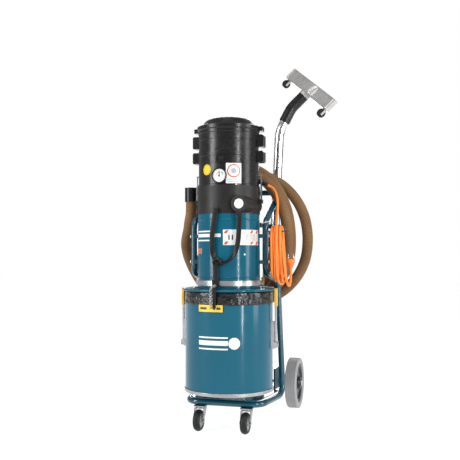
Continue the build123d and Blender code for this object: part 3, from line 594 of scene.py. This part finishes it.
def hank_points():
    """The turns over the hook: down the front, round the bottom, up the back, over."""
    points = []
    front = (184.5, 186, LAYER_REACH[2], HOOK_Z + 25.8, 517)
    outer, inner = [(c, 1) for c in (3, 2, 1, 0)], [(c, 0) for c in (0, 1, 2, 3)]
    for number, place in enumerate(outer + inner):
        back = strand(*place)
        top_x, low_x, reach, top, low = front
        fold = (reach + back[2]) / 2
        centre = (low if number == 0 else (low + back[4]) / 2) + fold
        for share in RUN_SHARES:
            points.append((top_x + (low_x - top_x) * share, HANK_Y - reach,
                           top - reach + (low - top + 2 * reach) * share))
        for angle in FOLD_ANGLES:
            turn = math.radians(angle)
            depth = reach if angle < 90 else back[2]
            points.append((low_x + (back[1] - low_x) * smooth(angle / 180),
                           HANK_Y - depth * FOLD * math.cos(turn),
                           centre - fold * FOLD * math.sin(turn)))
        top_x, low_x, reach, top, low = back
        for share in RUN_SHARES:
            points.append((low_x + (top_x - low_x) * share, HANK_Y + reach,
                           centre + (top - reach - centre) * share))
        for angle in FOLD_ANGLES:
            turn = math.radians(angle)
            points.append((top_x, HANK_Y + reach * FOLD * math.cos(turn),
                           top - reach + reach * FOLD * math.sin(turn)))
        front = back
    return points


cable = spline_curve("mains_cable_run", CABLE_START + hank_points() + CABLE_END, CABLE_R,
                     cable_orange)

# The plug: a ribbed grip and two pins.
PLUG_X, PLUG_LOW, PLUG_LENGTH, PIN_LENGTH = 228.0, 572.0, 32.0, 19
GRIP_RIBS, RIB_PITCH, RIB_GROWTH = 5, 3.0, 1.15
grip = [(0.1, 0), (7.0, 0), (7.6, 1)]
for rib in range(GRIP_RIBS):
    height = 2.5 + rib * RIB_PITCH
    reach = 8.4 + rib * RIB_GROWTH
    grip += [(reach - 0.9, height), (reach, height + 0.8), (reach, height + 1.9),
             (reach - 0.7, height + 2.5)]
grip += [(14.2, 18.6), (15.0, 20), (15.0, 30.6), (14.2, PLUG_LENGTH),
         (0.1, PLUG_LENGTH)]
plug = turned("plug_body", grip, orange_plug, (PLUG_X, 0, PLUG_LOW), (0, 0, 1))
pins = []
for name, x in (("plug_pin_left", 218.5), ("plug_pin_right", 237.5)):
    profile = [(0.05, 0), (2.4, 0), (2.4, 17.5), (1.6, PIN_LENGTH), (0.05, PIN_LENGTH)]
    pins.append(turned(name, profile, latch_steel, (x, 0, PLUG_LOW + PLUG_LENGTH),
                       (0, 0, 1), segments=24))
for piece, slot_name in ((plug, "cable_orange"), (pins[0], "latch_steel"),
                         (pins[1], "latch_steel")):
    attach(piece, "trolley")
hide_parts("cable_plug")
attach(cable, "trolley")
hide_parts("mains_cable", "cable_hank")

# ---------------------------------------------------------------- rubber strap
STRAP_Y, STRAP_HALF_WIDTH, STRAP_HALF_THICK = -122.0, 9.0, 2.0
TWIST, TWIST_AT, TWIST_REACH = 62, 0.47, 0.22       # degrees, and shares of the strap
STRAP_ROUTE = [(71.3, 756.8), (70, 705), (66, 655), (50, 612), (20, 590), (-12, 594),
               (-27, 630), (-28, 690), (-20, 735), (-14, 784)]


def band_section(half, thick):
    """A flat band's section with rounded corners."""
    corner = min(half, thick) * 0.8
    outline = []
    for quarter, (a, b) in enumerate(((1, 1), (-1, 1), (-1, -1), (1, -1))):
        for part in (0, 1, 2):
            turn = math.radians(90 * quarter + 45 * part)
            outline.append(((a * (half - corner) + corner * math.cos(turn)) * MM,
                            (b * (thick - corner) + corner * math.sin(turn)) * MM))
    return lambda i, run: outline


def loop_twist(share):
    """The band turns towards its edge where the loop bends."""
    return math.radians(TWIST) * smooth(1 - abs(share - TWIST_AT) / TWIST_REACH)


strap_line = line_points([(x, STRAP_Y, z) for x, z in STRAP_ROUTE], resolution=14)
strap = swept("strap_loop", strap_line, band_section(STRAP_HALF_WIDTH, STRAP_HALF_THICK),
              strap_rubber, Vector((1, 0, 0)), twist=loop_twist)
drop_line = line_points([(-14, STRAP_Y, 597), (-14.6, STRAP_Y, 576), (-14, STRAP_Y, 554),
                         (-14, STRAP_Y, 533)], resolution=8)
drop = swept("strap_drop", drop_line, band_section(9.5, 2.2), strap_rubber, Vector((1, 0, 0)))
knot_line = line_points([(-24, -122, 590), (-20, -128, 604), (-8, -129.5, 608),
                         (6, -128, 600), (10, -122, 590), (4, -118.5, 582),
                         (-12, -119, 582), (-22, -121, 588)], resolution=8)
knot = swept("strap_knot", knot_line, band_section(6.0, 2.2), strap_rubber,
             Vector((0, 0, 1)))
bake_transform(strap)
for piece in (drop, knot):
    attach(piece, "trolley")
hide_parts("strap")

# -------------------------------------------------------------- container liner
RIM_Z, LINER_COLUMNS, FIXED_ROWS = 490.8, 420, 5
SKIRT_TOP, SKIRT_ROW, SKIRT_ROWS = 484.0, 3.7, 11
liner_rows = [(BIN_R - 3.1, 432.0), (BIN_R - 3.0, 452.0), (BIN_R - 2.9, 472.0),
              (BIN_R - 2.7, 487.0), (BIN_R - 1.6, RIM_Z + 0.6), (BIN_R + 0.2, RIM_Z + 0.5),
              (BIN_R + 0.9, 487.0)]
liner_rows += [(BIN_R + 0.9, SKIRT_TOP - SKIRT_ROW * k) for k in range(SKIRT_ROWS)]
vertices = []
for column in range(LINER_COLUMNS):
    angle = 2 * math.pi * column / LINER_COLUMNS
    around = Vector((math.sin(angle), -math.cos(angle), 0))
    for row, (radius, height) in enumerate(liner_rows):
        free = smooth((488 - height) / 26) if row > FIXED_ROWS else 0.0
        fold = noise.noise(around * 11 + Vector((0, 0, height * 0.02)))
        crease = noise.noise(around * 34 + Vector((3, 0, height * 0.07)))
        swell = (1.9 * abs(fold) + 1.3 * abs(crease)) * free
        sag = (2.6 * fold + 1.2 * crease) * free * (row / len(liner_rows))
        vertices.append((around * (radius + swell) + Vector((0, 0, height + sag))) * MM)
liner = mesh_object("bag_liner", vertices,
                    grid_faces(LINER_COLUMNS, len(liner_rows), closed_columns=True),
                    bag_film)
shell = liner.modifiers.new("film", "SOLIDIFY")
shell.thickness, shell.offset = 0.3 * MM, 0.0
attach(liner, "container")
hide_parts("liner")

# The end of the strap hangs beside the chain.
tail_line = line_points([(-3, -138, 508.5), (-3, -160, 506), (-3, -178, 505), (-3, -181, 494),
                         (-3, -176, 470), (-4, -172, 452), (-5, -168, 438)], resolution=8)
tail = swept("strap_tail", tail_line, band_section(6.0, 1.3), strap_rubber, Vector((1, 0, 0)))
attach(tail, "container")


# --------------------------------------------------------------------- labels
def stick(piece, body):
    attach(piece, body)


def on_drum(name, outline, drum, shader, body="trolley", **sizes):
    stick(patch(name, outline, round_drum(*drum), shader, **sizes), body)


head = (HEAD_R, 24.4, 905)
on_drum("sign_card", bar(-27.5, 27.5, -36.5, 36.5), head, label_white)
on_drum("sign_ring", ring(19.5, 23.5, y=9.5), head, label_red, columns=64, base=0.3)
on_drum("sign_blot", ring(0.5, 9.5, y=9.5), head, label_grey, columns=40, base=0.3)
for number, (low, right) in enumerate(((-24, 22), (-29.5, 15))):
    on_drum(f"sign_line_{number}", bar(-22, right, low, low + 2.6), head, label_grey, base=0.3)

on_drum("yellow_spot", ring(0.5, 19), (HEAD_R, -30, 921), label_yellow, columns=48, rows=3)
on_drum("yellow_spot_rim", ring(15.2, 16.2), (HEAD_R, -30, 921), label_ink, columns=64,
        base=0.3)

card = (HOUSING_R, 44, 681)
on_drum("drum_card", bar(-76.5, 76.5, -27, 27), card, label_white, columns=60)
for number, (left, low) in enumerate(((-75, 14), (-75, -25), (24, 14), (24, -25), (56, 14),
                                      (56, -25))):
    on_drum(f"drum_card_corner_{number}", bar(left, left + 11, low, low + 11, slant=8), card,
            label_red, columns=6, base=0.3)
on_drum("drum_card_print", bar(8, 52, -11, 11), card, label_grey, columns=16, base=0.3,
        thick=0.1)
for number in range(5):
    on_drum(f"drum_card_line_{number}", bar(9.5, 50.5, -8.6 + 4 * number, -6.8 + 4 * number),
            card, label_white, columns=16, base=0.42)
for number, x in enumerate((-58, -46)):
    on_drum(f"drum_card_mark_{number}", bar(x, x + 5, -9, 9), card, label_ink, columns=4,
            base=0.3)

stripes = (HOUSING_R, -33, 688)
for number, (left, right, low, high) in enumerate(
        ((-58, 30, 12, 17), (-66, 66, -6, 6), (-58, 40, -20, -15))):
    on_drum(f"drum_stripe_{number}", bar(left, right, low, high), stripes, label_white,
            columns=48)
for number in range(4):
    left = -62 + 11 * number
    on_drum(f"drum_block_{number}", bar(left, left + 8, -10, 10), (HOUSING_R, -33, 633),
            label_orange, columns=6)

front = (BIN_R, 2, 317)
for number, (left, right, low, high) in enumerate(
        ((-75, 34, 17, 22), (-75, 34, -7, 9), (-75, 34, -22, -17))):
    on_drum(f"bin_stripe_{number}", bar(left, right, low, high), front, label_white,
            body="container", columns=48)
on_drum("bin_spot", ring(0.5, 20, x=56), front, label_white, body="container", columns=56)
note = (BIN_R, -8.4, 436)
on_drum("bin_note", bar(-45, 45, -12, 12), note, label_yellow, body="container", columns=36,
        base=2.6)
for number, (left, right) in enumerate(((-38, -12), (12, 20), (24, 38))):
    on_drum(f"bin_note_print_{number}", bar(left, right, -4, 4), note, label_ink,
            body="container", columns=8, base=2.9)

# ----------------------------------------------------------------------- gauge
GAUGE_X, GAUGE_Y, GAUGE_Z = -4.0, -113.0, 898.0
TICKS, FIRST_TICK, TICK_STEP, TICK_HALF = 13, -120, 20, 1.4


def on_dial(across, up, lift):
    return mm(GAUGE_X + across, GAUGE_Y - lift, GAUGE_Z + up)


for name, outline, shader, base in (
        ("dial", ring(0.4, 23.2), label_white, 0.02),
        ("dial_red", ring(10.5, 12.8, -75, 20), label_red, 0.1),
        ("dial_green", ring(12.0, 16.0, 25, 80), label_green, 0.1)):
    stick(patch(name, outline, on_dial, shader, columns=56, base=base, thick=0.06), "trolley")
for tick in range(TICKS):
    angle = FIRST_TICK + TICK_STEP * tick
    outline = ring(18.5, 21, angle - TICK_HALF, angle + TICK_HALF)
    stick(patch(f"dial_tick_{tick}", outline, on_dial, label_ink, columns=2, base=0.1,
                thick=0.06), "trolley")

# ------------------------------------------------------------------ small parts
DUCT_DIR = Vector((0.117, 0.9931, 0)).normalized()
cap_face = Vector((72, -122, 797)) - DUCT_DIR * 6.1
cap_disc = turned("cap_disc", [(0.05, 0), (17.0, 0), (17.0, 0.8), (16.4, 1.3), (6, 1.3),
                               (5.4, 1.7), (0.05, 1.7)], bolt_white, cap_face, -DUCT_DIR)
stick(cap_disc, "inlet_cap")


def button(name, radius, azimuth, height, reach, body):
    """A domed rivet or screw head on a drum."""
    angle = math.radians(azimuth)
    outward = Vector((math.sin(angle), -math.cos(angle), 0))
    profile = [(0.05, -0.5), (reach, -0.5), (reach, 0.6), (reach * 0.75, 1.5),
               (reach * 0.4, 1.9), (0.05, 2.0)]
    stick(turned(name, profile, bolt_white, outward * radius + Vector((0, 0, height)),
                 outward, segments=32), body)


button("head_screw", HEAD_R + 1.5, 29, 866, 3.4, "trolley")
button("drum_rivet", HOUSING_R, 45, 621, 3.6, "trolley")

tie_line = line_points([(123.6, -4, 733), (134, -8.5, 736), (150, -7, 739), (160, 6, 737),
                        (150, 18, 735), (134, 18.5, 733), (123.4, 12, 732),
                        (122.2, 3, 732.4)], resolution=8)
tie = swept("frame_tie", tie_line, band_section(1.5, 0.6), bolt_white, Vector((0, 0, 1)))
stick(tie, "trolley")

# The nozzle's own axes: along its face, ahead across it, and above, from its neck.
NECK = Vector((225.156, 294.489, 1250.31))
ALONG = Vector((0.531741, -0.67162, -0.515925))
AHEAD = Vector((0.721408, 0.040078, 0.691349))
ABOVE = Vector((-0.443646, -0.739811, 0.505823))


def on_nozzle(x, y, z):
    return (NECK + ALONG * x + AHEAD * y + ABOVE * z) * MM


# Bristle strips in the open underside.
STRIP_TEETH, STRIP_END = 46, 172
for name, ahead in (("bristles_front", 58.5), ("bristles_rear", 17.5)):
    vertices = []
    for tooth in range(STRIP_TEETH * 2):
        x = -STRIP_END + 2 * STRIP_END * tooth / (STRIP_TEETH * 2 - 1)
        deep = -17.5 if tooth % 2 else -16.2
        vertices += [on_nozzle(x, ahead + y, z) for y, z in
                     ((-1.8, -7), (1.8, -7), (1.2, deep), (-1.2, deep))]
    faces = grid_faces(STRIP_TEETH * 2, 4, closed_rows=True)
    faces += [(3, 2, 1, 0), tuple(len(vertices) - 4 + k for k in range(4))]
    stick(mesh_object(name, vertices, faces, strap_rubber, rounded=False), "nozzle")

# The crowned boss over the neck, and the ribs along the casting's edges.
BOSS_COLUMNS, BOSS_ROWS, BOSS_BASE, BOSS_CROWN = 33, 21, 9.0, 17
BOSS_HALF_LONG, BOSS_MIDDLE, BOSS_HALF_DEEP = 56, 38, 23
vertices = []
for crowned in (False, True):
    for i in range(BOSS_COLUMNS):
        for j in range(BOSS_ROWS):
            u, v = 2 * i / (BOSS_COLUMNS - 1) - 1, 2 * j / (BOSS_ROWS - 1) - 1
            crown = math.sqrt(max(0.0, (1 - u ** 6) * (1 - v ** 6)))
            top = BOSS_BASE + 0.3 + BOSS_CROWN * crown * (1 - 0.25 * v)
            vertices.append(on_nozzle(BOSS_HALF_LONG * u * (1 - 0.16 * crown),
                                      BOSS_MIDDLE + BOSS_HALF_DEEP * v,
                                      top if crowned else BOSS_BASE))
stick(mesh_object("nozzle_boss", vertices, closed_faces(BOSS_COLUMNS, BOSS_ROWS), aluminium),
      "nozzle")
RIB_Z, RIB_END = 10.6, 182.0
for name, ahead in (("nozzle_rib_front", 61.0), ("nozzle_rib_rear", 15.5)):
    path = [on_nozzle(-RIB_END + 2 * RIB_END * k / 24, ahead, RIB_Z) for k in range(25)]
    stick(swept(name, path, band_section(2.4, 2.2), aluminium, AHEAD), "nozzle")
for name, x in (("nozzle_end_left", -181.5), ("nozzle_end_right", 181.5)):
    path = [on_nozzle(x, 14 + 49 * k / 10, RIB_Z) for k in range(11)]
    stick(swept(name, path, band_section(2.8, 3.0), aluminium, ALONG), "nozzle")

# ---------------------------------------------------------- floor, light, camera
floor_finish = finish_of("floor_looks", (0.2, 0.2, 0.2), 0.7, mottle=0.01,
                         mottle_scale=1.0)
floor_finish.set(Emission_Color=(1, 1, 1, 1), Emission_Strength=0.91, Specular_IOR_Level=0.1)
FLOOR = 14.0                                # metres from the middle to each side
floor = mesh_object("floor", [(-FLOOR, -FLOOR, 0), (FLOOR, -FLOOR, 0), (FLOOR, FLOOR, 0),
                              (-FLOOR, FLOOR, 0)], [(0, 1, 2, 3)], floor_finish, rounded=False)

world = bpy.data.worlds.new("studio")
scene.world = world
world.use_nodes = True
backdrop = world.node_tree.nodes["Background"]
backdrop.inputs["Color"].default_value = (1, 1, 1, 1)
# The backdrop is white to the eye and dimmer as a light, so that paint keeps its depth.
AS_LIGHT, AS_SEEN = 0.34, 1.0
seen = world.node_tree.nodes.new("ShaderNodeLightPath")
strength = world.node_tree.nodes.new("ShaderNodeMapRange")
strength.inputs["To Min"].default_value = AS_LIGHT
strength.inputs["To Max"].default_value = AS_SEEN
world.node_tree.links.new(seen.outputs["Is Camera Ray"], strength.inputs["Value"])
world.node_tree.links.new(strength.outputs["Result"], backdrop.inputs["Strength"])


def softbox(name, azimuth, distance, height, size, power, aim=0.6):
    """An area light; azimuth in degrees from the front towards +X."""
    light = bpy.data.lights.new(name, "AREA")
    light.shape, (light.size, light.size_y) = "RECTANGLE", size
    light.energy = power
    lamp = bpy.data.objects.new(name, light)
    angle = math.radians(azimuth)
    lamp.location = (distance * math.sin(angle), -distance * math.cos(angle), height)
    away = lamp.location - Vector((0, 0, aim))
    lamp.rotation_euler = away.to_track_quat("Z", "Y").to_euler()
    scene.collection.objects.link(lamp)


softbox("key", -48, 3.2, 1.5, (1.0, 2.4), 72)
softbox("strip", 50, 3.0, 1.1, (0.14, 2.2), 44)
softbox("fill", 88, 3.0, 1.2, (0.8, 2.2), 34)
softbox("top", 10, 1.2, 3.4, (1.4, 1.4), 34)
softbox("rear", 190, 3.2, 1.6, (1.4, 2.0), 44)

camera_data = bpy.data.cameras.new("camera")
camera_data.lens, camera_data.sensor_width = 56.0, 36.0     # millimetres
camera = bpy.data.objects.new("camera", camera_data)
camera.location = (0.709, -2.509, 0.628)
rise = math.radians(1.8)
look = Vector((-0.2706 * math.cos(rise), 0.9627 * math.cos(rise), math.sin(rise)))
camera.rotation_euler = look.to_track_quat("-Z", "Y").to_euler()
scene.collection.objects.link(camera)
scene.camera = camera
scene.view_settings.view_transform = "Standard"
